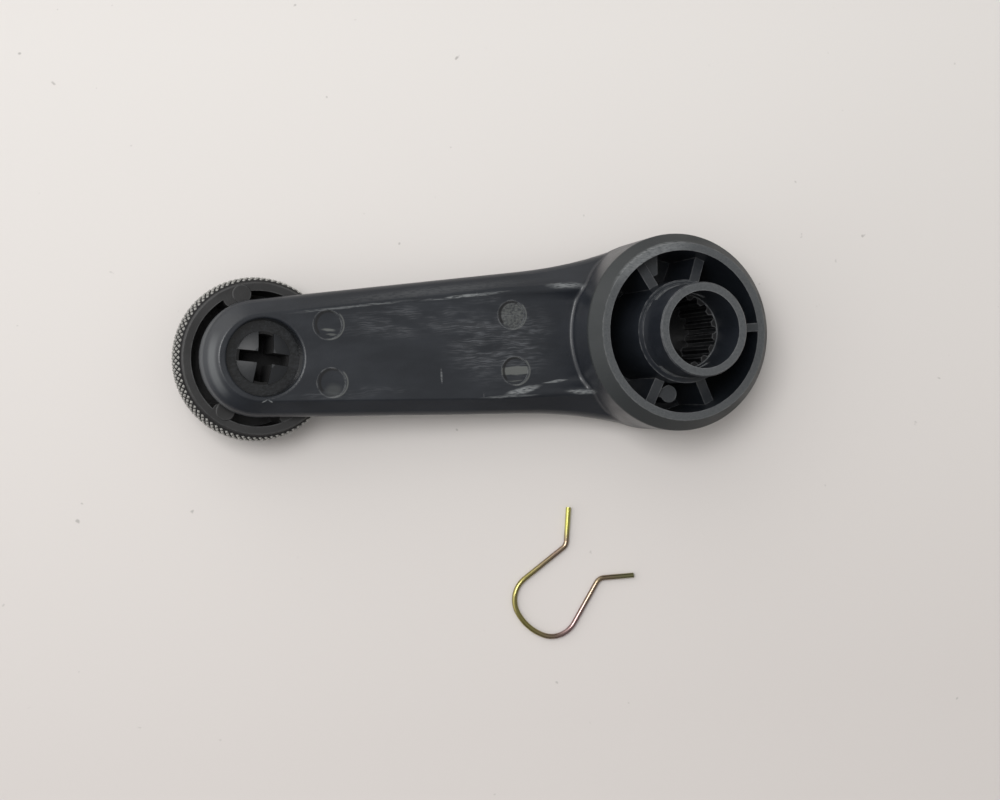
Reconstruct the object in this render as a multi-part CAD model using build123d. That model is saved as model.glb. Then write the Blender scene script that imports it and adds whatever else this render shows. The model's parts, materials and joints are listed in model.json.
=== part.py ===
# Window winder: a moulded crank arm, its turning knob and the wire clip that locks
# the arm on the splined shaft of a car door's window regulator.
#
# The winder is drawn about the axis of its shaft bore, with z = 0 in the plane of the hub's
# rim, +z out of the bore towards the door, and the knob towards -x.  At the end it is laid
# down as it rests on a flat surface: face down, on the front edges of the knob and the hub,
# with the clip beside it.
from build123d import *
from math import asin, atan2, cos, degrees, hypot, pi, radians, sin, tan
import os

# ---- driving dimensions (mm, degrees) -------------------------------------------------

shaft_to_knob = 105.0          # shaft axis to knob axis

# Hub: a cup, open towards the door, with its shaft boss in the middle.
rim_inner_radius = 20.6
rim_width = 2.0                # flat land of the rim
bevel_width = 2.6              # rim land to the hub's widest point
bevel_height = 3.6
bevel_edge_round = 0.8
wall_draft = 1.5               # outside of the cup, per side, narrower towards the front
cup_draft = 1.0                # inside of the cup, per side
hub_depth = 25.4               # rim to the edge of the front face
hub_front_round = 3.4
hub_front_crown = 0.8
hub_front_wall = 3.4

# Shaft boss: a stepped tube that stands proud of the rim.
boss_proud = 11.1              # tube end above the rim
tube_radius = 11.8
collar_radius = 13.1           # thicker lower part of the boss
collar_proud = 0.4
tube_edge_chamfer = 0.3
counterbore_radius = 9.65
counterbore_depth = 12.3
spline_count = 17
spline_tip_radius = 8.2
spline_root_radius = 9.3
spline_length = 16.0
spline_gap_share = 0.62        # of the pitch, at the tooth tips
spline_root_share = 0.30       # of the pitch, at the tooth roots

# Ribs and ejector posts in the cup.
rim_rib_thickness = 2.1
low_rib_thickness = 2.7
rim_rib_angle = 0.0            # the one rib that is flush with the rim
low_rib_angles = (65.0, 115.0, -115.0, -65.0)
low_rib_depth = 5.0            # below the rim, at the boss
low_rib_fall = 1.8             # further down at the cup wall
post_depth = 7.0
post_radius = 2.2
post_angle = -99.0             # round post beside the rib at -115
post_circle = 15.8
post_web = 2.4                 # web that ties the post to its rib
wedge_width = 5.4              # wedge beside the rib at 115, at the cup wall
wedge_tip_width = 2.0
wedge_tip_radius = 15.2        # from the shaft axis

# Arm: a tapering bar with a flat back and sloping flanks.
arm_back_depth = 14.5          # rim plane to the flat back
arm_end_radius = 14.4
arm_end_overhang = 0.9         # centre of the round end, beyond the knob axis
arm_root_inset = 5.0           # the straight sides point at a circle this far inside the hub's edge
arm_hub_inset = 0.8            # the outline runs into a circle this far inside the hub's edge
arm_root_blend = 130.0         # plan radius of the hollow between straight side and hub
flank_width = 3.9
flank_height = 3.5
flank_round = 3.0
back_edge_round = 0.8
arm_thickness_at_knob = 6.7
arm_front_step = 1.2           # the arm's front behind the edge of the hub's, at the shaft axis
front_edge_round = 1.3
hub_wall_fillet = 1.0          # in the crease between arm and hub

# Ridges that rise out of the arm's back towards the hub, between its flanks and the panel.
ridge_start = 50.0             # from the shaft axis
ridge_room = 10.0              # how far the flanks could run on above their foot
panel_half_width = 13.1        # where the ridges start
panel_narrowing = 0.102        # for each mm towards the hub
panel_side_angle = 57.0        # of the ridges' inner sides, from the vertical
panel_corner_round = 4.5
ridge_crest_round = 1.8

# Ejector marks on the back of the arm.
mark_radius = 3.6
mark_depth = 0.4
mark_side = 7.1
marks_from_shaft = (41.2, 89.1)

# Knob seat in the round end of the arm.
recess_radius = 9.5
recess_draft = 6.0
recess_depth = 3.4
recess_edge_round = 0.6
pivot_hole_radius = 5.9
bearing_radius = 12.0          # turned-down boss that nests in the knob
bearing_proud = 3.0            # beyond the arm's front at the knob axis

# Knob.
knob_gap = 1.1                 # arm front at the knob axis to the knob's back ring
knob_height = 15.0             # back ring to the edge of the front face
ring_inner_radius = 16.7
ring_outer_radius = 18.6
ring_edge_chamfer = 0.5
grip_bulge = 0.9               # of the side, over its two ends
grip_length = 9.2
knob_front_round = 4.4
knob_front_crown = 0.6
knob_front_wall = 3.0
knob_cup_draft = 0.8
knob_post_radius = 2.3
knob_post_angles = (110.0, 231.0, 352.0)
knob_post_circle = 16.2
knob_web_start = 286.0
knob_web_end = 314.0
knob_web_sunk = 0.2
thrust_radius = 9.0            # central pillar that the bearing boss turns on
thrust_clearance = 0.3

# Snap spindle of the knob.
pivot_clearance = 0.05         # radial, in the arm's hole
snap_overhang = 0.7            # head over the hole's edge, per side
snap_clearance = 0.2           # under the head
snap_head_land = 0.5
snap_head_height = 2.6
snap_lead_in = 3.6             # radial, over the sloping part of the head
snap_slot_depth = 12.0
wide_slot = 3.8
narrow_slot = 2.8
slot_turn = -10.5

# Retaining clip: one bent wire.
wire_diameter = 1.35
clip_base_radius = 13.2        # wire centre line, round the middle of the closed end
clip_base_half_angle = 21.0
clip_corner_radius = 6.9
clip_leg_angle = 11.2          # each leg towards the clip's axis
clip_leg_lengths = (13.0, 12.2)
clip_bend_radius = 2.6
clip_tip_flare = (49.0, 56.0)  # each tip away from its leg
clip_tip_lengths = (8.9, 8.2)
clip_slot_clearance = 0.35
clip_slot_floor = 8.3          # from the middle of the boss
clip_slot_above_collar = 0.6
clip_place = (-29.9, -65.0)    # centre of its base arc on the table, from the shaft axis
clip_turn = 44.4               # direction of its open end


# ---- derived levels and fits ----------------------------------------------------------

rim_outer_radius = rim_inner_radius + rim_width
hub_radius = rim_outer_radius + bevel_width
hub_wall_height = hub_depth - bevel_height - hub_front_round
hub_foot_radius = hub_radius - hub_wall_height * tan(radians(wall_draft))
tube_end = boss_proud
counterbore_floor = boss_proud - counterbore_depth
spline_floor = counterbore_floor - spline_length
cup_floor = -(hub_depth - hub_front_wall)
arm_back = -arm_back_depth
front_depth_at_knob = arm_back_depth + arm_thickness_at_knob
front_depth_at_hub = hub_depth - arm_front_step
flank_foot = arm_back - flank_height
knob_ring = -(front_depth_at_knob + knob_gap)
knob_face = knob_ring - knob_height
bearing_face = -(front_depth_at_knob + bearing_proud)
recess_floor = arm_back - recess_depth
spindle_radius = pivot_hole_radius - pivot_clearance
snap_underside = recess_floor + snap_clearance
front_slope = degrees(atan2(front_depth_at_hub - front_depth_at_knob, shaft_to_knob))


def turned(profile):
    """A solid of revolution about the z axis from a profile drawn as (radius, z)."""
    return revolve(Plane.XZ * make_face(profile), Axis.Z)


def crown(edge, height):
    """Profile of a slightly domed face: an arc about a centre on the axis, out of a round edge."""
    start = edge @ 1
    radius = (start.X**2 + height**2) / (2 * height)
    return RadiusArc(start, (0, start.Y - height), radius)


def drum(radius, bottom, top):
    return Pos(0, 0, bottom) * extrude(Circle(radius), top - bottom)


# ---- crank arm ------------------------------------------------------------------------

def hub_shell():
    """Outside of the hub: rim, bevel, drafted wall and crowned front."""
    round_top = -(hub_depth - hub_front_round)
    face_radius = hub_foot_radius - hub_front_round
    rim = Line((0, 0), (rim_outer_radius, 0))
    bevel = Line(rim @ 1, (hub_radius, -bevel_height))
    wall = Line(bevel @ 1, (hub_foot_radius, round_top))
    edge = RadiusArc(wall @ 1, (face_radius, -hub_depth), hub_front_round)
    face = crown(edge, hub_front_crown)
    shell = turned([rim, bevel, wall, edge, face, Line(face @ 1, rim @ 0)])
    widest = shell.edges().filter_by(GeomType.CIRCLE).filter_by_position(
        Axis.Z, -bevel_height - 0.01, -bevel_height + 0.01
    )
    return fillet(widest, bevel_edge_round)


def arm_plan():
    """Outline of the arm at its widest level."""
    far_end = Pos(-shaft_to_knob - arm_end_overhang, 0) * Circle(arm_end_radius)
    root = Circle(hub_radius - arm_root_inset)
    hub_circle_radius = hub_radius - arm_hub_inset
    plan = make_hull(far_end.edges() + root.edges()) + Circle(hub_circle_radius)
    corners = plan.vertices().filter_by_position(Axis.X, -hub_circle_radius, -0.1)
    return make_face(fillet(corners, arm_root_blend).edges())


def flanked_bar(level):
    """The outline extruded up to a level, with flanks that slope down from there to their foot."""
    lowest = -(hub_depth + hub_front_crown)
    bar = Pos(0, 0, lowest) * extrude(arm_plan(), level - lowest)
    top = bar.faces().sort_by(Axis.Z)[-1]
    height = level - flank_foot
    return chamfer(top.outer_wire().edges(), height * flank_width / flank_height, height, reference=top)


def arm_bar():
    """The bar with its flat back, rounded flanks and inclined front."""
    bar = flanked_bar(arm_back)
    foot = bar.edges().filter_by_position(Axis.Z, flank_foot - 0.01, flank_foot + 0.01)
    bar = fillet(foot, flank_round)
    bar = fillet(bar.faces().sort_by(Axis.Z)[-1].outer_wire().edges(), back_edge_round)
    front = Plane((-shaft_to_knob, 0, -front_depth_at_knob)).rotated((0, front_slope, 0))
    bar = split(bar, front, keep=Keep.TOP)
    front_face = bar.faces().filter_by(GeomType.PLANE).sort_by(Axis.Z)[0]
    bar = fillet(front_face.outer_wire().edges(), front_edge_round)
    return split(bar, Plane.YZ, keep=Keep.BOTTOM)


def panel_space():
    """Space above the arm's flat back; its slanting sides are the inner sides of the ridges."""
    length = shaft_to_knob + arm_end_overhang + arm_end_radius + 1
    corner = (Align.MAX, Align.CENTER, Align.MAX)
    space = Box(length, length, arm_back_depth, align=corner)
    for side in (1, -1):
        along = Vector(-1, side * panel_narrowing, 0)
        up = Vector(0, side * tan(radians(panel_side_angle)), 1)
        inner_side = Plane((-ridge_start, side * panel_half_width, arm_back), along, along.cross(up) * side)
        space = split(space, inner_side, keep=Keep.BOTTOM)
    feet = space.edges().group_by(Axis.Z)[0].sort_by(SortBy.LENGTH)[-2:]
    return fillet(feet, panel_corner_round)


def ridges():
    """Both ridges, with the slab under the panel that joins them."""
    slab_bottom = arm_back - flank_height / 2
    slab = split(flanked_bar(flank_foot + ridge_room), Plane.XY.offset(slab_bottom), keep=Keep.TOP)
    slab = split(slab, Plane.YZ.offset(-ridge_start), keep=Keep.TOP)
    slab = split(slab, Plane.YZ, keep=Keep.BOTTOM) - panel_space()
    flank_normal = flank_width / hypot(flank_width, flank_height)
    flank_edges = slab.faces().filter_by(lambda face: abs(face.normal_at().Z - flank_normal) < 0.01).edges()
    crests = slab.edges().filter_by(lambda edge: edge in flank_edges and (edge @ 0).Z > arm_back
                                    and (edge @ 1).Z > arm_back)
    return fillet(crests.filter_by(Plane.YZ, reverse=True), ridge_crest_round)


def meets_hub_wall(edge):
    """True for the edges where the arm's back and sides run into the outside of the hub."""
    middle = edge @ 0.5
    on_wall = hub_foot_radius < hypot(middle.X, middle.Y) < hub_radius
    return on_wall and middle.X < 0 and -(hub_depth - hub_front_round) < middle.Z < -bevel_height - 0.5


def cup_space():
    """Space between the cup wall and the boss."""
    floor_radius = rim_inner_radius + cup_floor * sin(radians(cup_draft))
    profile = Polyline(
        (collar_radius, 1), (rim_inner_radius, 1), (rim_inner_radius, 0),
        (floor_radius, cup_floor), (collar_radius, cup_floor), close=True,
    )
    return turned(profile)


def boss():
    collar = drum(collar_radius, cup_floor - 1, collar_proud)
    tube = drum(tube_radius, cup_floor, tube_end)
    tube = chamfer(tube.edges().sort_by(Axis.Z)[-1], tube_edge_chamfer)
    return collar + tube


def shaft_bore():
    """Counterbore and splined hole, blind towards the front."""
    pitch = 2 * pi / spline_count
    gap = spline_tip_radius * pitch * spline_gap_share
    root = spline_root_radius * pitch * spline_root_share
    foot = spline_tip_radius - 0.3
    groove = make_face(Polyline(
        (foot, -gap / 2), (spline_tip_radius, -gap / 2), (spline_root_radius, -root / 2),
        (spline_root_radius, root / 2), (spline_tip_radius, gap / 2), (foot, gap / 2), close=True,
    ))
    section = Circle(spline_tip_radius)
    for tooth in range(spline_count):
        section += Rot(0, 0, 360 * tooth / spline_count) * groove
    bore = drum(counterbore_radius, counterbore_floor, tube_end)
    return bore + Pos(0, 0, spline_floor) * extrude(section, spline_length)


def clip_slots():
    """Two chordal cuts through the tube, where the clip's legs reach the shaft's groove."""
    bottom = collar_proud + clip_slot_above_collar
    height = wire_diameter + clip_slot_clearance
    depth = collar_radius - clip_slot_floor
    slots = []
    for side in (1, -1):
        middle = side * (clip_slot_floor + depth / 2)
        slots.append(Pos(0, middle, bottom + height / 2) * Box(2 * collar_radius, depth, height))
    return slots


def radial_rib(angle, thickness, inner_top, outer_top):
    """A rib between boss and cup wall, with its foot in the cup floor."""
    inner = collar_radius - 1.0
    outer = rim_inner_radius + rim_width / 2
    side = make_face(Polyline(
        (inner, cup_floor - 1), (outer, cup_floor - 1), (outer, outer_top),
        (inner, inner_top), close=True,
    ))
    return Rot(0, 0, angle) * extrude(Plane.XZ * side, thickness / 2, both=True)


def ribs():
    inner, outer = -low_rib_depth, -low_rib_depth - low_rib_fall
    low = [radial_rib(angle, low_rib_thickness, inner, outer) for angle in low_rib_angles]
    return [radial_rib(rim_rib_angle, rim_rib_thickness, 0, 0)] + low


def ejector_posts():
    """A round post and a wedge that knock the cup out of its mould, each joined to its rib."""
    height = -post_depth - cup_floor + 1
    rib_at_wedge, rib_at_post = low_rib_angles[1], low_rib_angles[2]
    post = Pos(post_circle, 0, 0) * extrude(Circle(post_radius), height)
    reach = post_circle * radians(post_angle - rib_at_post)
    web = Pos(post_circle, 0, height / 2) * Box(post_web, reach, height)
    rib_side = -low_rib_thickness / 2
    wall = rim_inner_radius + rim_width / 2
    wedge = extrude(make_face(Polyline(
        (wedge_tip_radius, 0), (wall, 0), (wall, rib_side - wedge_width),
        (wedge_tip_radius, rib_side - wedge_tip_width), close=True,
    )), height)
    placed = [(post_angle, post), ((post_angle + rib_at_post) / 2, web), (rib_at_wedge, wedge)]
    return [Pos(0, 0, cup_floor - 1) * Rot(0, 0, angle) * piece for angle, piece in placed]


def knob_seat_cut():
    """Recess for the snap head, and the hole that the spindle turns in."""
    mouth_depth = arm_back - recess_edge_round
    floor_radius = recess_radius - (mouth_depth - recess_floor) * tan(radians(recess_draft))
    lid = Line((0, arm_back), (recess_radius + recess_edge_round, arm_back))
    mouth = RadiusArc(lid @ 1, (recess_radius, mouth_depth), -recess_edge_round)
    side = Line(mouth @ 1, (floor_radius, recess_floor))
    floor = Line(side @ 1, (0, recess_floor))
    recess = turned([lid, mouth, side, floor, Line(floor @ 1, lid @ 0)])
    return recess + drum(pivot_hole_radius, bearing_face, recess_floor)


def make_crank_arm():
    at_knob = Pos(-shaft_to_knob, 0, 0)
    arm = hub_shell() + arm_bar() + ridges()
    arm = fillet(arm.edges().filter_by(meets_hub_wall), hub_wall_fillet)
    arm -= cup_space()
    arm += boss()
    for piece in ribs() + ejector_posts():
        arm += piece
    arm -= shaft_bore()
    for slot in clip_slots():
        arm -= slot
    arm += at_knob * drum(bearing_radius, bearing_face, recess_floor - 0.5)
    arm -= at_knob * knob_seat_cut()
    for distance in marks_from_shaft:
        for side in (1, -1):
            arm -= Pos(-distance, side * mark_side, 0) * drum(mark_radius, arm_back - mark_depth, arm_back)
    return arm


# ---- knob -----------------------------------------------------------------------------

def knob_shell():
    """Outside of the knob: back ring, bulging grip, rounded front with a slight crown."""
    side = ring_outer_radius + ring_edge_chamfer
    grip_top = knob_ring - ring_edge_chamfer
    grip_end = grip_top - grip_length
    round_top = knob_face + knob_front_round
    face_radius = side - knob_front_round
    ring = Line((0, knob_ring), (ring_outer_radius, knob_ring))
    bevel = Line(ring @ 1, (side, grip_top))
    grip = ThreePointArc(bevel @ 1, (side + grip_bulge, (grip_top + grip_end) / 2), (side, grip_end))
    neck = Line(grip @ 1, (side, round_top))
    edge = RadiusArc(neck @ 1, (face_radius, knob_face), knob_front_round)
    face = crown(edge, knob_front_crown)
    return turned([ring, bevel, grip, neck, edge, face, Line(face @ 1, ring @ 0)])


def knob_cup():
    floor = knob_face + knob_front_wall
    floor_radius = ring_inner_radius - (knob_ring - floor) * sin(radians(knob_cup_draft))
    return turned(Polyline(
        (thrust_radius, knob_ring + 1), (ring_inner_radius, knob_ring + 1),
        (ring_inner_radius, knob_ring), (floor_radius, floor), (thrust_radius, floor), close=True,
    ))


def knob_posts():
    """Ejector posts against the inside of the grip, flush with the back ring."""
    floor = knob_face + knob_front_wall - 0.5
    return [
        Rot(0, 0, angle) * Pos(knob_post_circle, 0, 0) * drum(knob_post_radius, floor, knob_ring)
        for angle in knob_post_angles
    ]


def knob_web():
    """Solid stretch between pillar and grip, just below the back ring."""
    floor = knob_face + knob_front_wall - 0.5
    top = knob_ring - knob_web_sunk
    inner = bearing_radius + thrust_clearance * 2
    outer = (ring_inner_radius + ring_outer_radius) / 2
    start, end = radians(knob_web_start), radians(knob_web_end)
    ends = ((inner, start), (outer, start), (outer, end), (inner, end))
    corner = [(radius * cos(angle), radius * sin(angle)) for radius, angle in ends]
    sector = make_face([
        Line(corner[0], corner[1]), RadiusArc(corner[1], corner[2], -outer),
        Line(corner[2], corner[3]), RadiusArc(corner[3], corner[0], inner),
    ])
    return Pos(0, 0, floor) * extrude(sector, top - floor)


def snap_spindle():
    """Pivot pin with a split snap head, standing on the thrust pillar."""
    head_radius = pivot_hole_radius + snap_overhang
    top = snap_underside + snap_head_height
    foot = bearing_face - thrust_clearance - 1
    pin = turned(Polyline(
        (0, foot), (spindle_radius, foot), (spindle_radius, snap_underside),
        (head_radius, snap_underside), (head_radius, snap_underside + snap_head_land),
        (head_radius - snap_lead_in, top), (0, top), close=True,
    ))
    return pin


def cross_slot():
    top = snap_underside + snap_head_height
    middle = top - snap_slot_depth / 2
    span = 2 * (pivot_hole_radius + snap_overhang)
    wide = Pos(0, 0, middle) * Box(wide_slot, span, snap_slot_depth)
    narrow = Pos(0, 0, middle) * Box(span, narrow_slot, snap_slot_depth)
    return Rot(0, 0, slot_turn) * (wide + narrow)


def make_knob():
    knob = knob_shell() - knob_cup()
    thrust_face = bearing_face - thrust_clearance
    knob -= drum(thrust_radius + 0.5, thrust_face, knob_ring + 1)
    for piece in knob_posts() + [knob_web()]:
        knob += piece
    knob += snap_spindle()
    return Pos(-shaft_to_knob, 0, 0) * (knob - cross_slot())


# ---- retaining clip -------------------------------------------------------------------

def clip_half(side, leg_length, tip_flare, tip_length):
    """From the middle of the closed end round one corner, down a leg and out to its tip."""
    corner_turn = 90 - clip_base_half_angle + clip_leg_angle
    base = JernArc((-clip_base_radius, 0), (0, side), clip_base_radius, -side * clip_base_half_angle)
    corner = JernArc(base @ 1, base % 1, clip_corner_radius, -side * corner_turn)
    leg = Line(corner @ 1, corner @ 1 + corner % 1 * leg_length)
    bend = JernArc(leg @ 1, leg % 1, clip_bend_radius, side * tip_flare)
    tip = Line(bend @ 1, bend @ 1 + bend % 1 * tip_length)
    return [base, corner, leg, bend, tip]


def make_clip():
    """Omega of spring wire, flat on the table, with the centre of its base arc at the origin."""
    sides = zip((1, -1), clip_leg_lengths, clip_tip_flare, clip_tip_lengths)
    halves = [clip_half(*values) for values in sides]
    wire = Wire([edge for half in halves for edge in half])
    end = halves[0][-1]
    section = Plane(origin=end @ 1, z_dir=end % 1) * Circle(wire_diameter / 2)
    return sweep(section, wire)


# ---- laid down ------------------------------------------------------------------------

def resting_tilt():
    """Angle between the shaft axis and the vertical when knob and hub lie on their fronts."""
    knob_edge = ring_outer_radius + ring_edge_chamfer - knob_front_round
    knob_x, knob_z = -shaft_to_knob + knob_edge, knob_face + knob_front_round
    hub_x, hub_z = hub_foot_radius - hub_front_round, -(hub_depth - hub_front_round)
    span = hypot(hub_x - knob_x, hub_z - knob_z)
    rise = atan2(hub_z - knob_z, hub_x - knob_x)
    return rise - asin((hub_front_round - knob_front_round) / span)


tilt = resting_tilt()
lay_down = Rot(0, degrees(tilt), 0)
table = (
    -sin(tilt) * (hub_foot_radius - hub_front_round)
    - cos(tilt) * (hub_depth - hub_front_round) - hub_front_round
)
clip_pose = Pos(clip_place[0], clip_place[1], table + wire_diameter / 2) * Rot(0, 0, clip_turn)

pieces = {
    "crank_arm": lay_down * make_crank_arm(),
    "knob": lay_down * make_knob(),
    "retaining_clip": clip_pose * make_clip(),
}

os.makedirs("parts", exist_ok=True)
for name, solid in pieces.items():
    export_step(solid, f"parts/{name}.step")
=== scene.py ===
import bpy
import json
import math
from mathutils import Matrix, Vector


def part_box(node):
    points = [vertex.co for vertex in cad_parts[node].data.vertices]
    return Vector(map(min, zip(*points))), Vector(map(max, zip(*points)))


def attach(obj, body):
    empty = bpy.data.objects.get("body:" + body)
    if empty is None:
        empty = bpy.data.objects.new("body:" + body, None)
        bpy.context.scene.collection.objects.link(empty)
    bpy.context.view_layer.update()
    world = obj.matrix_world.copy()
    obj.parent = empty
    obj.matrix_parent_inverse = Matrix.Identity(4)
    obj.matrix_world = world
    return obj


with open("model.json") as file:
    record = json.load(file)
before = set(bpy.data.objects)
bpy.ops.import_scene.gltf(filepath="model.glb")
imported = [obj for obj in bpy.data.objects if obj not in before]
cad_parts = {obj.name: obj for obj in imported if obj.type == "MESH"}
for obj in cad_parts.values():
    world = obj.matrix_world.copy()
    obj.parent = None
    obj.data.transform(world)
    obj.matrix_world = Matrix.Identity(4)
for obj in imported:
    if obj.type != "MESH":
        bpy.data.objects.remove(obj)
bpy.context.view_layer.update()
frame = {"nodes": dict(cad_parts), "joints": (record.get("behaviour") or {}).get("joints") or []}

# ---- Table ----------------------------------------------------------------------------
# A pale table top, its colour painted darker towards the near side as painted shade, so
# that it fades like the light.  The winder rests on it, face down, on the front edges of
# its hub and its knob, and the loose clip lies beside it.
table_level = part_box("retaining_clip")[0].z
table_span = 12.0
shaded_near_colour = (0.59, 0.557, 0.54, 1)
lit_far_colour = (0.67, 0.645, 0.626, 1)
near_edge, far_edge = -0.1, 0.08          # where the two colours are reached, across the table
table_roughness = 0.7
table_gloss = 0.1
dust_colour = (0.42, 0.40, 0.385, 1)
dust_scale = 260
dust_starts, dust_full = 0.745, 0.79      # levels of the noise, so that specks are few
fibre_scale = 900
fibre_strength = 0.1
fibre_depth = 0.0002


def add(tree, kind, inputs=None, **settings):
    """Adds one node, sets it up, and links or fills its input sockets."""
    node = tree.nodes.new(kind)
    for name, value in settings.items():
        setattr(node, name, value)
    for socket, value in (inputs or {}).items():
        if isinstance(value, bpy.types.NodeSocket):
            tree.links.new(value, node.inputs[socket])
        else:
            node.inputs[socket].default_value = value
    return node


def tint(tree, mask, under, over):
    """One colour over another where the mask is 1."""
    mix = add(tree, "ShaderNodeMix", {"Factor": mask, "A": under, "B": over}, data_type="RGBA")
    return mix.outputs["Result"]


def new_material(name):
    material = bpy.data.materials.new(name)
    material.use_nodes = True
    return material, material.node_tree, material.node_tree.nodes["Principled BSDF"]


bpy.ops.mesh.primitive_plane_add(size=table_span, location=(0, 0, table_level))
table = bpy.context.object
table.name = "table"

table_paint, tree, surface = new_material("pale_table")
surface.inputs["Roughness"].default_value = table_roughness
surface.inputs["Specular IOR Level"].default_value = table_gloss
spot = add(tree, "ShaderNodeTexCoord").outputs["Object"]
across = add(tree, "ShaderNodeSeparateXYZ", {"Vector": spot}).outputs["Y"]
# Painted shade: the colour darkens from the far edge to the near one.
reach = add(tree, "ShaderNodeMapRange", {
    "Value": across, "From Min": near_edge, "From Max": far_edge})
shade = add(tree, "ShaderNodeValToRGB", {"Fac": reach.outputs["Result"]})
shade.color_ramp.elements[0].color = shaded_near_colour
shade.color_ramp.elements[1].color = lit_far_colour
dust = add(tree, "ShaderNodeTexNoise", {"Vector": spot, "Scale": dust_scale})
speck = add(tree, "ShaderNodeMapRange", {
    "Value": dust.outputs["Fac"], "From Min": dust_starts, "From Max": dust_full})
dusty = tint(tree, speck.outputs["Result"], shade.outputs["Color"], dust_colour)
tree.links.new(dusty, surface.inputs["Base Color"])
fibre = add(tree, "ShaderNodeTexNoise", {"Vector": spot, "Scale": fibre_scale})
texture = add(tree, "ShaderNodeBump", {
    "Height": fibre.outputs["Fac"], "Strength": fibre_strength, "Distance": fibre_depth})
tree.links.new(texture.outputs["Normal"], surface.inputs["Normal"])
table.data.materials.append(table_paint)

# ---- Light ----------------------------------------------------------------------------
# Soft studio light: a dim ceiling that fades towards the near side, a tall pale screen at
# the far left, low down, and one soft lamp almost straight above the winder.
ceiling_side = (0, 0.4, 0.9)
ceiling_spread = (-0.4, 1.0)      # cosines of the angle off its side, where it ends and is full
ceiling_levels = (0.08, 0.48)
screen_side = (-0.88, 0.45, 0.12)
screen_spread = (0.2, 0.8)
screen_levels = (0.0, 1.4)
light_colour = (1.0, 0.99, 0.97, 1)
backdrop_colour = (0.72, 0.69, 0.67, 1)
lamp_size = 0.3
lamp_power = 3.3
lamp_place = Vector((-0.34, 0.14, 0.7))

sky = bpy.data.worlds.new("studio")
bpy.context.scene.world = sky
sky.use_nodes = True
tree = sky.node_tree
direction = add(tree, "ShaderNodeTexCoord").outputs["Generated"]


def glow(towards, spread, levels):
    """Light that grows as the direction turns towards the given one."""
    turn = add(tree, "ShaderNodeVectorMath", {
        0: direction, 1: Vector(towards).normalized()}, operation="DOT_PRODUCT")
    return add(tree, "ShaderNodeMapRange", {
        "Value": turn.outputs["Value"], "From Min": spread[0], "From Max": spread[1],
        "To Min": levels[0], "To Max": levels[1],
    }, interpolation_type="SMOOTHSTEP").outputs["Result"]


both = add(tree, "ShaderNodeMath", {
    0: glow(ceiling_side, ceiling_spread, ceiling_levels),
    1: glow(screen_side, screen_spread, screen_levels),
}, operation="ADD")
room = tree.nodes["Background"]
room.inputs["Color"].default_value = light_colour
tree.links.new(both.outputs["Value"], room.inputs["Strength"])
backdrop = add(tree, "ShaderNodeBackground", {"Color": backdrop_colour})
seen = add(tree, "ShaderNodeMixShader", {
    "Fac": add(tree, "ShaderNodeLightPath").outputs["Is Camera Ray"],
    1: room.outputs["Background"], 2: backdrop.outputs["Background"]})
tree.links.new(seen.outputs["Shader"], tree.nodes["World Output"].inputs["Surface"])

lamp = bpy.data.lights.new("overhead_lamp", "AREA")
lamp.size = lamp_size
lamp.energy = lamp_power
lamp_holder = bpy.data.objects.new("overhead_lamp", lamp)
lamp_holder.location = lamp_place
lamp_holder.rotation_euler = (-lamp_place).to_track_quat("-Z", "Y").to_euler()
bpy.context.scene.collection.objects.link(lamp_holder)

# ---- Camera ---------------------------------------------------------------------------
# Looks steeply down on the winder from above the knob end, so that the knob's grip shows
# beside the arm and the boss hides a part of the hub's cup.
camera_lens = 65.27
camera_place = (-0.1544, -0.0095, 0.4355)
camera_turns = (0.33, -13.57, -3.92)

camera_data = bpy.data.cameras.new("camera")
camera_data.lens = camera_lens
camera = bpy.data.objects.new("camera", camera_data)
camera.location = camera_place
camera.rotation_euler = [math.radians(turn) for turn in camera_turns]
bpy.context.scene.collection.objects.link(camera)
bpy.context.scene.camera = camera
bpy.context.scene.view_settings.view_transform = "Standard"

# ---- Crank arm ------------------------------------------------------------------------
# One injection moulding in charcoal plastic: the hub cup with its shaft boss, the arm and
# the seat of the knob.  Satin skin with fine grain and lengthwise flow marks, clouded paler
# near the hub, partly as a painted sheen; the lands of rim, boss and ribs are rubbed paler,
# and so are the sharpest edges, which also carry a painted highlight.  Ridges, crests, the
# far flank, the rim's far side, the boss's collar and the arm's end have painted highlights,
# the ejector marks painted lit rims and painted shadows, and the bore and the knob's seat
# are painted dark as shade.
shaft_axis = Vector(frame["joints"][0]["axis"])
shaft_lean = math.atan2(shaft_axis.x, shaft_axis.z)
along_arm = Vector((math.cos(shaft_lean), 0, -math.sin(shaft_lean)))
across_arm = Vector((0, 1, 0))
knob_distance = Vector(frame["joints"][0]["pos_m"]).dot(along_arm)

arm_skin = (0.0095, 0.0115, 0.0155, 1)
arm_roughness = 0.36
patch_gain = 1.3                  # the uneven patches of the skin are this much paler
flow_cloud_and_sheen = (0.026, 0.028, 0.032, 1)
flow_line = (0.1, 0.106, 0.118, 1)
bevel_dark = (0.0125, 0.0155, 0.017, 1)
rubbed_land = (0.078, 0.083, 0.087, 1)
bore_painted_shade = (0.004, 0.0042, 0.005, 1)
pale_scuff_and_highlight = (0.2, 0.21, 0.215, 1)
mark_face = (0.11, 0.115, 0.11, 1)
mark_shade = (0.002, 0.002, 0.003, 1)
worn_and_highlit_edge = (0.16, 0.165, 0.17, 1)
seat_dark = (0.0035, 0.004, 0.005, 1)
seat_pale = (0.014, 0.0155, 0.018, 1)
finger_face = (0.022, 0.0235, 0.026, 1)
groove_black = (0.0015, 0.0015, 0.002, 1)


def moulded_place(tree):
    """Position on the winder, in metres: x along the arm, y across it, z along the shaft."""
    place = add(tree, "ShaderNodeTexCoord").outputs["Object"]
    upright = add(tree, "ShaderNodeMapping", {"Vector": place, "Rotation": (0, -shaft_lean, 0)})
    return upright.outputs["Vector"]


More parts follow.
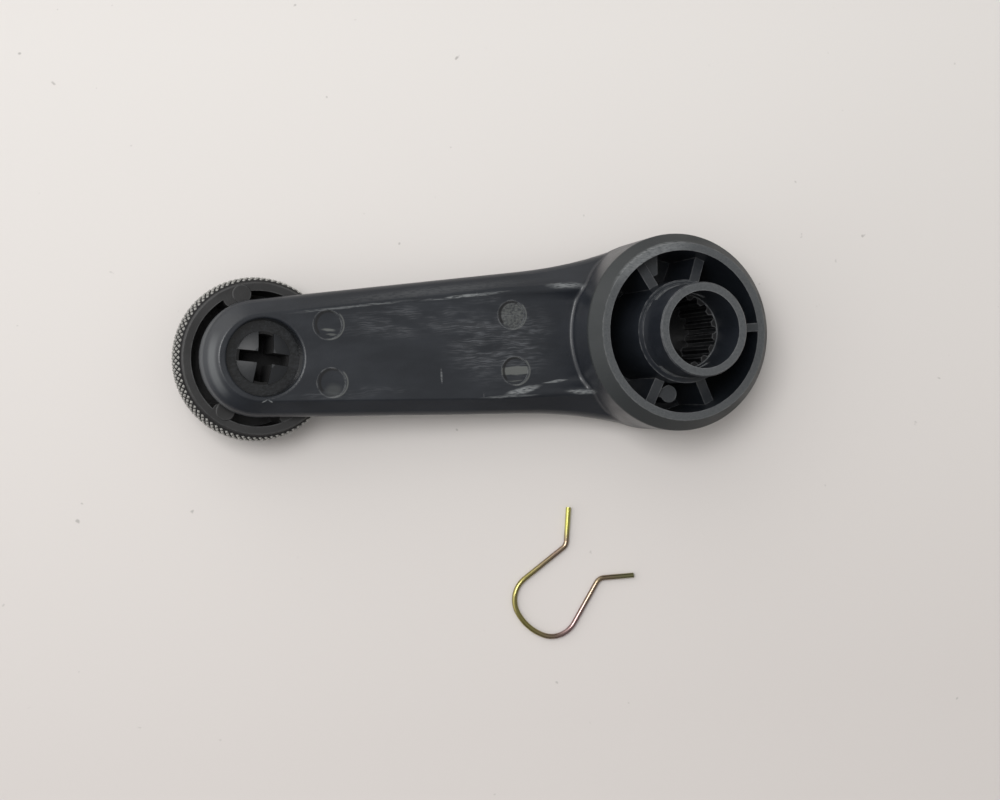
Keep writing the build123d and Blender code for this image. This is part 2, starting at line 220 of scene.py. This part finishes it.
def noise(tree, place, stretch, detail=2.0, roughness=0.5):
    """Noise whose features are the given sizes in metres along x, y and z."""
    scaled = add(tree, "ShaderNodeMapping", {
        "Vector": place, "Scale": [1 / size for size in stretch]})
    texture = add(tree, "ShaderNodeTexNoise", {
        "Vector": scaled.outputs["Vector"], "Scale": 1.0,
        "Detail": detail, "Roughness": roughness})
    return texture.outputs["Fac"]


def band(tree, value, low, high, start=0.0, end=1.0):
    """Smooth ramp from start to end as the value goes from low to high."""
    return add(tree, "ShaderNodeMapRange", {
        "Value": value, "From Min": low, "From Max": high, "To Min": start, "To Max": end,
    }, interpolation_type="SMOOTHSTEP").outputs["Result"]


def combine(tree, operation, first, second=0.0):
    return add(tree, "ShaderNodeMath", {0: first, 1: second}, operation=operation).outputs["Value"]


def times(tree, first, second):
    return combine(tree, "MULTIPLY", first, second)


def plus(tree, first, second):
    return combine(tree, "ADD", first, second)


def minus(tree, first, second):
    return combine(tree, "SUBTRACT", first, second)


def either(tree, masks):
    """The stronger of several masks at each spot."""
    strongest = masks[0]
    for mask in masks[1:]:
        strongest = combine(tree, "MAXIMUM", strongest, mask)
    return strongest


def vectors(tree, operation, first, second):
    return add(tree, "ShaderNodeVectorMath", {0: first, 1: second}, operation=operation).outputs


def length_of(tree, vector):
    return add(tree, "ShaderNodeVectorMath", {0: vector}, operation="LENGTH").outputs["Value"]


def flattened(tree, place):
    """The place without its height along the shaft."""
    return vectors(tree, "MULTIPLY", place, (1, 1, 0))["Vector"]


def height_of(tree, place):
    return add(tree, "ShaderNodeSeparateXYZ", {"Vector": place}).outputs["Z"]


def swayed(tree, place, sway, reach):
    """The place moved across the arm by a noise times the reach, in metres."""
    offset = add(tree, "ShaderNodeVectorMath", {0: (0, reach, 0), "Scale": sway}, operation="SCALE")
    return vectors(tree, "ADD", place, offset.outputs["Vector"])["Vector"]


def millimetres(values):
    return [0.001 * value for value in values]


def new_group(name, outputs):
    group = bpy.data.node_groups.new(name, "ShaderNodeTree")
    for label in outputs:
        group.interface.new_socket(label, in_out="OUTPUT", socket_type="NodeSocketFloat")
    return group, group.nodes.new("NodeGroupOutput").inputs


# Sizes of the skin's features, in metres along, across and up.
fine_grain = (0.0003, 0.0003, 0.0003)
coarse_grain = (0.0012, 0.0009, 0.0012)
uneven_patch = (0.022, 0.009, 0.02)
patch_levels = (0.35, 0.68)


def moulding_grain():
    """Fine skin of moulded plastic: a height for bump, and broad uneven patches."""
    group, out = new_group("moulding_grain", ("Height", "Patches"))
    place = moulded_place(group)
    fine = noise(group, place, fine_grain, 3.0, 0.6)
    coarse = noise(group, place, coarse_grain)
    group.links.new(plus(group, fine, coarse), out["Height"])
    patches = noise(group, place, uneven_patch, 3.0, 0.6)
    group.links.new(band(group, patches, *patch_levels), out["Patches"])
    return group


def patch(tree, place, centre, half, turn=0.0, full=1.0, core=0.35):
    """Soft oval: centre and half axes in millimetres, turned by degrees about the shaft.

    It has its full strength inside a share of its size, the core."""
    local = add(tree, "ShaderNodeMapping", {
        "Vector": place, "Location": millimetres(centre),
        "Rotation": (0, 0, math.radians(turn)), "Scale": millimetres(half),
    }, vector_type="TEXTURE")
    return band(tree, length_of(tree, local.outputs["Vector"]), 1.0, core, 0.0, full)


arc_core = 0.3                    # of its half width, at full strength
arc_reach = (0.004, 0.0035)       # up and down the shaft
arc_fade = 0.25                   # of the cosine, from the spread angle inwards


def arc(tree, place, centre, radius, half_width, facing, spread, full=1.0):
    """Part of a ring in the arm's plane, in millimetres: its middle is at the facing angle,
    and it fades out at the spread angle, both in degrees."""
    out = vectors(tree, "SUBTRACT", place, millimetres(centre))["Vector"]
    flat = flattened(tree, out)
    gap = combine(tree, "ABSOLUTE", minus(tree, length_of(tree, flat), 0.001 * radius))
    level = combine(tree, "ABSOLUTE", height_of(tree, out))
    outer, core = millimetres((half_width, arc_core * half_width))
    ring = times(tree, band(tree, gap, outer, core, 0.0, full), band(tree, level, *arc_reach))
    middle = (math.cos(math.radians(facing)), math.sin(math.radians(facing)), 0)
    unit = add(tree, "ShaderNodeVectorMath", {0: flat}, operation="NORMALIZE").outputs["Vector"]
    side = vectors(tree, "DOT_PRODUCT", unit, middle)["Value"]
    edge = math.cos(math.radians(spread))
    return times(tree, ring, band(tree, side, edge, min(1.0, edge + arc_fade)))


# Where flow marks show, and where the skin is clouded paler, partly as a painted sheen:
# centre, half axes, turn, strength and core, as patch() takes them.
flow_regions = (
    ((-45, 1, -14.5), (18, 14, 8), 0, 1.0, 0.3),
    ((-66, 7, -14.5), (26, 5.5, 8), 0, 0.7),
    ((-84, -10, -14.5), (20, 2.0, 8), 0, 0.4),
)
flow_line_size = (0.0038, 0.00026, 0.004)
flow_line_levels = (0.44, 0.62)
flow_gap_size = (0.007, 0.003, 0.01)
flow_gap_levels = (0.3, 0.62)
flow_sway_size = (0.006, 0.005, 0.01)
flow_sway = 0.0016


def flow_marks():
    """Wavy lengthwise lines in the moulded skin, round the ejector marks near the hub."""
    group, out = new_group("flow_marks", ("Lines", "Region"))
    place = moulded_place(group)
    wavy_place = swayed(group, place, noise(group, place, flow_sway_size), flow_sway)
    lines = noise(group, wavy_place, flow_line_size, 3.0, 0.6)
    where = either(group, [patch(group, place, *region) for region in flow_regions])
    gaps = noise(group, place, flow_gap_size)
    shown = times(group, where, band(group, gaps, *flow_gap_levels))
    group.links.new(times(group, band(group, lines, *flow_line_levels), shown), out["Lines"])
    # The region is clouded paler in the plastic, partly as a painted sheen.
    group.links.new(shown, out["Region"])
    return group


edge_width = 0.0005
edge_sharpness = (0.993, 0.93)    # cosines between the plain and the softened surface
edge_wear_size = (0.0016, 0.0016, 0.0016)
edge_wear_levels = (0.25, 0.65)


def edge_rub_and_highlight():
    """Where an edge is sharp enough to be rubbed pale, and painted with a highlight along it."""
    group, out = new_group("edge_rub_and_highlight", ("Mask",))
    plain = add(group, "ShaderNodeNewGeometry").outputs["Normal"]
    softened = add(group, "ShaderNodeBevel", {"Radius": edge_width}, samples=6).outputs["Normal"]
    agree = vectors(group, "DOT_PRODUCT", plain, softened)["Value"]
    worn_and_lit = noise(group, moulded_place(group), edge_wear_size, 3.0)
    edge = band(group, agree, *edge_sharpness)
    group.links.new(times(group, edge, band(group, worn_and_lit, *edge_wear_levels)), out["Mask"])
    return group


# Radii about the shaft and levels along it from the rim's plane, in metres.  Each pair is
# where a mask starts and where it is full.
lands_above = (-0.0128, -0.0118)
square_to_shaft = (0.97, 0.99)
collar_top = 0.0004
off_collar = (0.00015, 0.0003)
ribs_outside = (0.0118, 0.0121)
ribs_inside = (0.0209, 0.0205)
rib_share = 0.4                   # of the rim's rubbing
bevel_outside = (0.0218, 0.0222)
bevel_above = (-0.0047, -0.0037)
# The bore is painted dark as shade, down in the shaft's hole.
bore_inside = (0.0096, 0.0092)
bore_below = (0.0105, 0.006)


def hub_lands():
    """Rubbed flat lands of rim, boss and ribs, the rim's worn bevel, and the bore, painted dark as
    shade.
    """
    group, out = new_group("hub_lands", ("Lands", "Bevel", "Bore"))
    place = moulded_place(group)
    level = height_of(group, place)
    radius = length_of(group, flattened(group, place))
    normal = add(group, "ShaderNodeTexCoord").outputs["Normal"]
    facing = vectors(group, "DOT_PRODUCT", normal, shaft_axis)["Value"]
    from_collar = combine(group, "ABSOLUTE", minus(group, level, collar_top))
    bare = times(group, band(group, level, *lands_above), band(group, from_collar, *off_collar))
    ribs = times(group, band(group, radius, *ribs_outside), band(group, radius, *ribs_inside))
    rubbed = times(group, bare, band(group, ribs, 0.0, 1.0, 1.0, rib_share))
    group.links.new(times(group, band(group, facing, *square_to_shaft), rubbed), out["Lands"])
    bevel = times(group, band(group, radius, *bevel_outside), band(group, level, *bevel_above))
    group.links.new(bevel, out["Bevel"])
    inside = times(group, band(group, radius, *bore_inside), band(group, level, *bore_below))
    group.links.new(inside, out["Bore"])
    return group


# Wear and painted light, in millimetres from the shaft and the rim's plane, as patch() and arc()
# take it.
ragged_scuffs_and_highlights = (
    # Scuffs by the near edge, partly painted highlight.
    ((-43, -13.0, -14.5), (9.5, 0.4, 4), -1, 0.5),
    ((-39.5, -11.7, -14.5), (6.0, 1.0, 4), 10, 0.9),
    ((-30.5, -10.0, -14.0), (4.2, 0.4, 4), 4, 0.8),
    # Painted highlights on the crests where the ridges meet the hub.
    ((-26.5, 14.3, -12.5), (6.5, 1.1, 4), -3, 0.7),
    ((-24.0, -13.1, -12.5), (5.4, 0.8, 4), -5, 0.8),
    # Painted highlights along the ridges of the far flank.
    ((-53, 12.9, -14.2), (14, 0.5, 4), 3.2, 0.85, 0.2),      # ridge at the far flank
    ((-82, 11.7, -14.6), (20, 0.4, 4), 3.2, 0.5, 0.2),
    ((-60.8, -6.8, -14.5), (0.35, 2.3, 3), 0, 0.6),          # tick across the arm
)
even_scuffs_and_highlights = (
    # Painted glint on the nick below the knob's seat.
    ((-105.9, -10.5, -14.5), (0.9, 0.2, 3), 25, 0.9, 0.6),   # nick beside the knob's seat
    ((-104.5, -10.6, -14.5), (0.8, 0.2, 3), -35, 0.9, 0.6),
    # Painted sheen along the far flank, and painted highlight on the rim's far side.
    ((-61, 14.2, -15.3), (36, 1.7, 4), 3.2, 0.16, 0.1),      # along the far flank
    ((-8, 20, 0), (19, 5.5, 1), 24, 0.6, 0.2),               # far side of the rim
)
# Turned lines on the boss's collar, painted pale on their lit side only, as highlights.
collar_lines_and_highlights = (
    ((0, 0, 1.5), 12.2, 0.12, 120, 60, 0.3),
    ((0, 0, 1.5), 12.7, 0.12, 110, 55, 0.25),
)
# Painted highlights: crescents round the knob's seat at the arm's end.
painted_highlight_arcs = (
    ((-105, 0, -15.5), 12.9, 1.1, 186, 42, 0.27),
    ((-105, 0, -17.0), 15.0, 0.5, 175, 75, 0.2),
)
ejector_marks = [(along, side * 7.1, -14.6) for along in (-88.6, -40.8) for side in (1, -1)]
clouded_mark = ((-40.8, 7.1, -15), (3.8, 3.8, 1), 0, 0.8, 0.75)
mark_scratches = (
    ((-88.9, 6.3, -15), (2.2, 0.5, 1), -8, 0.8),
    ((-88.2, 5.1, -15), (1.8, 0.35, 1), -5, 0.6),
    ((-88.6, -8.6, -15), (2.9, 2.2, 1), 0, 0.25),
    ((-40.8, -6.6, -15), (7.0, 1.2, 1), 0, 0.8, 0.8),
    ((-41.0, -9.2, -15), (2.6, 0.3, 1), 2, 0.5),
)
ragged_size = (0.004, 0.0006, 0.002)
ragged_reach = 0.0009
chalk_size = (0.0016, 0.0002, 0.001)
chalk_levels = (0.3, 0.6)
cloud_size = (0.0007, 0.0005, 0.001)
cloud_levels = (0.25, 0.75)
# Painted highlight on the lit rim of each ejector mark, and painted shadow inside its far side.
mark_rim_highlight = (3.62, 0.28, -30, 80, 0.6)
mark_rim_shadow = (3.3, 0.45, 140, 85, 0.9)
mark_floor = (-0.01468, -0.01478)


def wear_and_painted_light():
    """Pale scuffs and painted highlights; the marks' painted lit rims, worn floors and painted
    shade.
    """
    group, out = new_group("wear_and_painted_light", ("ScuffsAndHighlights", "Marks", "Shades"))
    place = moulded_place(group)
    jitter = noise(group, place, ragged_size, 3.0, 0.65)
    ragged_place = swayed(group, place, jitter, ragged_reach)
    scuffs_and_highlights = either(
        group, [patch(group, ragged_place, *stroke) for stroke in ragged_scuffs_and_highlights]
        + [patch(group, place, *stroke) for stroke in even_scuffs_and_highlights]
        + [arc(group, place, *scratch) for scratch in collar_lines_and_highlights])
    chalk = noise(group, place, chalk_size, 2.0, 0.6)
    rubbed = times(group, scuffs_and_highlights, band(group, chalk, *chalk_levels))
    painted_highlights = [arc(group, place, *crescent) for crescent in painted_highlight_arcs]
    group.links.new(either(group, [rubbed] + painted_highlights), out["ScuffsAndHighlights"])

    clouds = noise(group, place, cloud_size, 3.0, 0.7)
    cloudy = times(group, patch(group, place, *clouded_mark), band(group, clouds, *cloud_levels))
    scratches = [patch(group, ragged_place, *scratch) for scratch in mark_scratches]
    sunk = band(group, height_of(group, place), *mark_floor)
    floors = times(group, either(group, [cloudy] + scratches), sunk)
    painted_rim_highlights = [arc(group, place, mark, *mark_rim_highlight) for mark in ejector_marks]
    group.links.new(either(group, [floors] + painted_rim_highlights), out["Marks"])
    shades = [arc(group, place, mark, *mark_rim_shadow) for mark in ejector_marks]
    group.links.new(times(group, either(group, shades), sunk), out["Shades"])
    return group


# Of the knob's seat, snap head and grip: radii about the knob's axis, and levels along it
# from the plane of the hub's rim, in metres.
seat_below = (-0.0146, -0.0152)
seat_inside = (0.0096, 0.0093)
snap_head_inside = (0.0067, 0.0065)
snap_tip_level = -0.0151
snap_tip_radius = 0.003
snap_cone_fall = 2.1 / 3.6        # of the head's lead-in cone, outwards
slot_under_cone = (-0.0002, -0.0008)
face_over_cone = (-0.0003, -0.0001)
knurl_top = -0.0228
knurl_height = 0.0092
barrel_end_radius = 0.0191
barrel_bulge = 0.0009
grip_outside = (0.01885, 0.01895)
grip_edge_fade = 0.0002
groove_under = (0.0002, 0.00005)  # heights over the barrel


def knob_places():
    """The seat and snap slots, painted dark as shade, the snap fingers, and the grip's grooves,
    dark with dirt and painted shade.
    """
    group, out = new_group("knob_places", ("Seat", "Fingers", "Slots", "Groove"))
    about_knob = vectors(group, "ADD", moulded_place(group), (-knob_distance, 0, 0))["Vector"]
    level = height_of(group, about_knob)
    radius = length_of(group, flattened(group, about_knob))
    seat = times(group, band(group, level, *seat_below), band(group, radius, *seat_inside))
    group.links.new(seat, out["Seat"])

    beyond_tip = combine(group, "MAXIMUM", minus(group, radius, snap_tip_radius), 0.0)
    over_cone = minus(group, plus(group, level, times(group, beyond_tip, snap_cone_fall)),
                      snap_tip_level)
    head = band(group, radius, *snap_head_inside)
    group.links.new(times(group, head, band(group, over_cone, *slot_under_cone)), out["Slots"])
    group.links.new(times(group, head, band(group, over_cone, *face_over_cone)), out["Fingers"])

    half_height = 0.5 * knurl_height
    from_middle = combine(
        group, "DIVIDE", plus(group, level, half_height - knurl_top), half_height)
    bulge = times(group, times(group, from_middle, from_middle), -barrel_bulge)
    proud = minus(group, radius, plus(group, bulge, barrel_end_radius + barrel_bulge))
    grip = times(group, band(group, radius, *grip_outside),
                 band(group, level, knurl_top + grip_edge_fade, knurl_top))
    group.links.new(times(group, grip, band(group, proud, *groove_under)), out["Groove"])
    return group


grain, flow, rub_and_highlight, lands = moulding_grain(), flow_marks(), edge_rub_and_highlight(), hub_lands()
wear_and_light_group, knob_painted_shade_and_dirt = wear_and_painted_light(), knob_places()
roughness_range = (-0.04, 0.06)   # over the patches, from the skin's own
cloud_share, line_share = 0.6, 0.65
handled_edge, sheltered_edge = 0.6, 0.3
speckle_size = (0.0005, 0.0005, 0.0005)
speckle_levels = (0.2, 0.75)
land_strength = (0.45, 1.0)       # from its darkest speckles to its palest
land_dulling = 0.18
line_relief = 1.6
# The edges' pale paint, part wear and part painted highlight, is kept faint at both ends of the
# hub's foot.
hub_foot_ends = [((-28, side * 13.5, -13.5), (5, 5, 5)) for side in (1, -1)]
hub_foot_edge = 0.2               # of the edges' rubbing
seat_mottle_size = (0.0011, 0.0007, 0.001)
seat_mottle_levels = (0.35, 0.7)
seat_dulling, finger_dulling, groove_dulling = -0.12, 0.2, 0.6
relief_strength = 0.35
relief_depth = 0.00006


def charcoal_plastic(name, skin, roughness, handled=True):
    """Charcoal moulding compound with its grain, edges rubbed pale and painted with a highlight,
    and the knob's seat, snap slots and grip grooves painted dark as shade, with dirt in the
    grooves.

    Where it is handled, it also has the arm's flow marks, clouded paler partly as a painted
    sheen, lands, a bore painted dark as shade, scuffs and painted highlights, and ejector
    marks with painted lit rims and painted shadows."""
    plastic, tree, surface = new_material(name)
    place = moulded_place(tree)

    def group_masks(group):
        return add(tree, "ShaderNodeGroup", node_tree=group).outputs

    def over(layers, colour):
        for mask, finish in layers:
            colour = tint(tree, mask, colour, finish)
        return colour

    skin_grain = group_masks(grain)
    patches = skin_grain["Patches"]
    paler_skin = tuple(patch_gain * level for level in skin[:3]) + (1,)
    colour = tint(tree, patches, skin, paler_skin)
    dull = band(tree, patches, 0.0, 1.0, *[roughness + change for change in roughness_range])
    relief = skin_grain["Height"]
    edge_share = handled_edge if handled else sheltered_edge
    edges = times(tree, group_masks(rub_and_highlight)["Mask"], edge_share)
    if handled:
        lines, flats, worn_and_lit = group_masks(flow), group_masks(lands), group_masks(wear_and_light_group)
        speckle = noise(tree, place, speckle_size, 3.0, 0.7)
        land = times(tree, flats["Lands"], band(tree, speckle, *speckle_levels, *land_strength))
        colour = over((
            # The flow region is clouded paler, partly as a painted sheen.
            (times(tree, lines["Region"], cloud_share), flow_cloud_and_sheen),
            (times(tree, lines["Lines"], line_share), flow_line),
            (flats["Bevel"], bevel_dark),
            (land, rubbed_land),
            (flats["Bore"], bore_painted_shade),
            # Pale scuffs and painted highlights, mark floors and painted lit rims, painted shadow
            # in the marks.
            (worn_and_lit["ScuffsAndHighlights"], pale_scuff_and_highlight),
            (worn_and_lit["Marks"], mark_face),
            (worn_and_lit["Shades"], mark_shade),
        ), colour)
        rubbed = either(tree, [land, flats["Bevel"]])
        dull = plus(tree, dull, times(tree, rubbed, land_dulling))
        relief = plus(tree, relief, times(tree, lines["Lines"], line_relief))
        relief = plus(tree, relief, times(tree, land, speckle))
        hub_foot = either(tree, [patch(tree, place, *end) for end in hub_foot_ends])
        edges = times(tree, edges, band(tree, hub_foot, 0.0, 1.0, 1.0, hub_foot_edge))

    knob_shade_and_dirt = group_masks(knob_painted_shade_and_dirt)
    seat_mottle = band(tree, noise(tree, place, seat_mottle_size, 3.0, 0.7), *seat_mottle_levels)
    dark = either(tree, [knob_shade_and_dirt["Groove"], knob_shade_and_dirt["Slots"]])
    # Painted shade in the seat and the snap slots; the grip's grooves hold dirt and painted shade.
    colour = over((
        (edges, worn_and_highlit_edge),
        (knob_shade_and_dirt["Seat"], tint(tree, seat_mottle, seat_dark, seat_pale)),
        (knob_shade_and_dirt["Fingers"], finger_face),
        (dark, groove_black),
    ), colour)
    for mask, dulling in (
        (knob_shade_and_dirt["Seat"], seat_dulling), (knob_shade_and_dirt["Fingers"], finger_dulling), (dark, groove_dulling),
    ):
        dull = plus(tree, dull, times(tree, mask, dulling))
    tree.links.new(colour, surface.inputs["Base Color"])
    tree.links.new(dull, surface.inputs["Roughness"])
    bump = add(tree, "ShaderNodeBump", {
        "Height": relief, "Strength": relief_strength, "Distance": relief_depth})
    tree.links.new(bump.outputs["Normal"], surface.inputs["Normal"])
    return plastic


def dress(node, material):
    frame["nodes"][node].data.materials.clear()
    frame["nodes"][node].data.materials.append(material)


dress("crank_arm", charcoal_plastic("arm_plastic", arm_skin, arm_roughness))

# ---- Knob -----------------------------------------------------------------------------
# A turning cup of the same compound, pressed into the arm by its split snap spindle.  Two
# round pads, where ejector pins pushed it from the mould, bridge from its ring inwards.
knob_skin = (0.012, 0.0118, 0.0122, 1)
knob_roughness = 0.38
pad_places = ((101.0, 0.0163), (233.5, 0.0153))      # degrees about the knob, and radius
pad_radius = 0.0024
pad_edge = 0.0002
pad_levels = (-0.0238, -0.0223, -0.0221)             # foot, top of the side, face
pad_sides = 32

knob_plastic = charcoal_plastic("knob_plastic", knob_skin, knob_roughness, handled=False)
dress("knob", knob_plastic)


def outwards(turn):
    """Direction in the arm's plane, turned in radians from along the arm."""
    return along_arm * math.cos(turn) + across_arm * math.sin(turn)


def on_knob(turn, radius, level):
    """Point about the knob's axis: turn in radians, radius, level along it from the rim."""
    return along_arm * knob_distance + outwards(turn) * radius + shaft_axis * level


def knob_piece(name, points, faces, material):
    mesh = bpy.data.meshes.new(name)
    mesh.from_pydata(points, [], faces)
    mesh.validate()
    piece = bpy.data.objects.new(name, mesh)
    bpy.context.scene.collection.objects.link(piece)
    mesh.materials.append(material)
    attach(piece, "knob")
    return piece


for number, (turn, distance) in enumerate(pad_places):
    middle = on_knob(math.radians(turn), distance, 0.0)
    points, faces = [], []
    for level, radius in zip(pad_levels, (pad_radius, pad_radius, pad_radius - pad_edge)):
        for side in range(pad_sides):
            rim = outwards(2 * math.pi * side / pad_sides) * radius
            points.append(middle + rim + shaft_axis * level)
    for ring in range(len(pad_levels) - 1):
        for side in range(pad_sides):
            after = (side + 1) % pad_sides
            low, high = ring * pad_sides, (ring + 1) * pad_sides
            faces.append((low + side, low + after, high + after, high + side))
    faces.append(tuple(reversed(range(pad_sides))))
    faces.append(tuple(range(2 * pad_sides, 3 * pad_sides)))
    knob_piece("ejector_pad_%d" % (number + 1), points, faces, knob_plastic)

# ---- Knurl ----------------------------------------------------------------------------
# Grip moulded round the knob's barrel: six staggered rows of diamonds, each a low pyramid
# with a blunt tip, so that their gaps cross as slanting grooves.  The diamonds are painted
# far paler than the knob's plastic, as painted light on their facets.
knurl_painted_light = (0.22, 0.216, 0.203, 1)
knurl_roughness = 0.3
knurl_rows = 6
knurl_columns = 86
knurl_relief = 0.00038
knurl_root = 0.00008              # the pyramids' feet lie this deep in the barrel
knurl_margin = 0.005              # kept free at both ends, as a share of the grip's height
diamond_half_width = 0.46         # of the spacing round the barrel
diamond_half_length = 0.96        # of the spacing between rows
blunt_tip = 0.3


def barrel_point(turn, share, proud):
    """Point on the barrel a share of the way down it, stood out by a height."""
    radius = barrel_end_radius + barrel_bulge * (1 - (2 * share - 1) ** 2)
    return on_knob(turn, radius + proud, knurl_top - knurl_height * share)


points, faces = [], []
half = 2 * math.pi * diamond_half_width / knurl_columns
for row in range(knurl_rows):
    share = (row + 0.5) / knurl_rows
    up = max(share - diamond_half_length / knurl_rows, knurl_margin)
    down = min(share + diamond_half_length / knurl_rows, 1 - knurl_margin)
    for column in range(knurl_columns):
        turn = 2 * math.pi * (column + 0.5 * (row % 2)) / knurl_columns
        first = len(points)
        for size, proud in ((1.0, -knurl_root), (blunt_tip, knurl_relief)):
            points += [
                barrel_point(turn + half * size, share, proud),
                barrel_point(turn, share + (up - share) * size, proud),
                barrel_point(turn - half * size, share, proud),
                barrel_point(turn, share + (down - share) * size, proud),
            ]
        for corner in range(4):
            after = (corner + 1) % 4
            faces.append((first + corner, first + after, first + 4 + after, first + 4 + corner))
        faces.append((first + 4, first + 5, first + 6, first + 7))
        faces.append((first + 3, first + 2, first + 1, first))
knurl_plastic = charcoal_plastic("knurl_plastic", knurl_painted_light, knurl_roughness, handled=False)
knob_piece("knob_knurl", points, faces, knurl_plastic)

# ---- Retaining clip -------------------------------------------------------------------
# Spring wire bent into an omega, zinc plated and yellow passivated, so its colour wanders
# from olive and straw to pink and mauve.  It grips the shaft's groove through the boss.
brass_tone = (0.27, 0.215, 0.13, 1)
pink_tone = (0.28, 0.205, 0.16, 1)
olive_tone = (0.30, 0.265, 0.10, 1)
mauve_tone = (0.30, 0.205, 0.20, 1)
straw_tone = (0.50, 0.48, 0.14, 1)
green_tone = (0.24, 0.23, 0.12, 1)
wander_size = (0.009, 0.009, 0.009)
wander_levels = (0.4, 0.6)
drawn_size = (0.0006, 0.0006, 0.0006)
drawn_levels = (0.3, 0.7)
drawn_roughness = (0.14, 0.24)
clip_low, clip_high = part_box("retaining_clip")

zinc, tree, surface = new_material("zinc_wire")
place = add(tree, "ShaderNodeTexCoord").outputs["Object"]
parts = add(tree, "ShaderNodeSeparateXYZ", {"Vector": place}).outputs
wander = noise(tree, place, wander_size)
closed_end = band(tree, parts["X"], clip_low.x + 0.012, clip_low.x + 0.003)
right_of_bend = band(tree, parts["X"], clip_low.x + 0.010, clip_low.x + 0.014)
near_side = band(tree, parts["Y"], clip_low.y + 0.013, clip_low.y + 0.004)
far_tip = band(tree, parts["Y"], clip_high.y - 0.009, clip_high.y - 0.004)
right_tip = band(tree, parts["X"], clip_high.x - 0.008, clip_high.x - 0.002)
colour = tint(tree, band(tree, wander, *wander_levels), brass_tone, pink_tone)
for mask, tone in (
    (closed_end, olive_tone),
    (times(tree, right_of_bend, near_side), mauve_tone),
    (far_tip, straw_tone),
    (right_tip, green_tone),
):
    colour = tint(tree, mask, colour, tone)
tree.links.new(colour, surface.inputs["Base Color"])
surface.inputs["Metallic"].default_value = 1.0
drawn = noise(tree, place, drawn_size, 3.0, 0.6)
dull = band(tree, drawn, *drawn_levels, *drawn_roughness)
tree.links.new(dull, surface.inputs["Roughness"])
dress("retaining_clip", zinc)
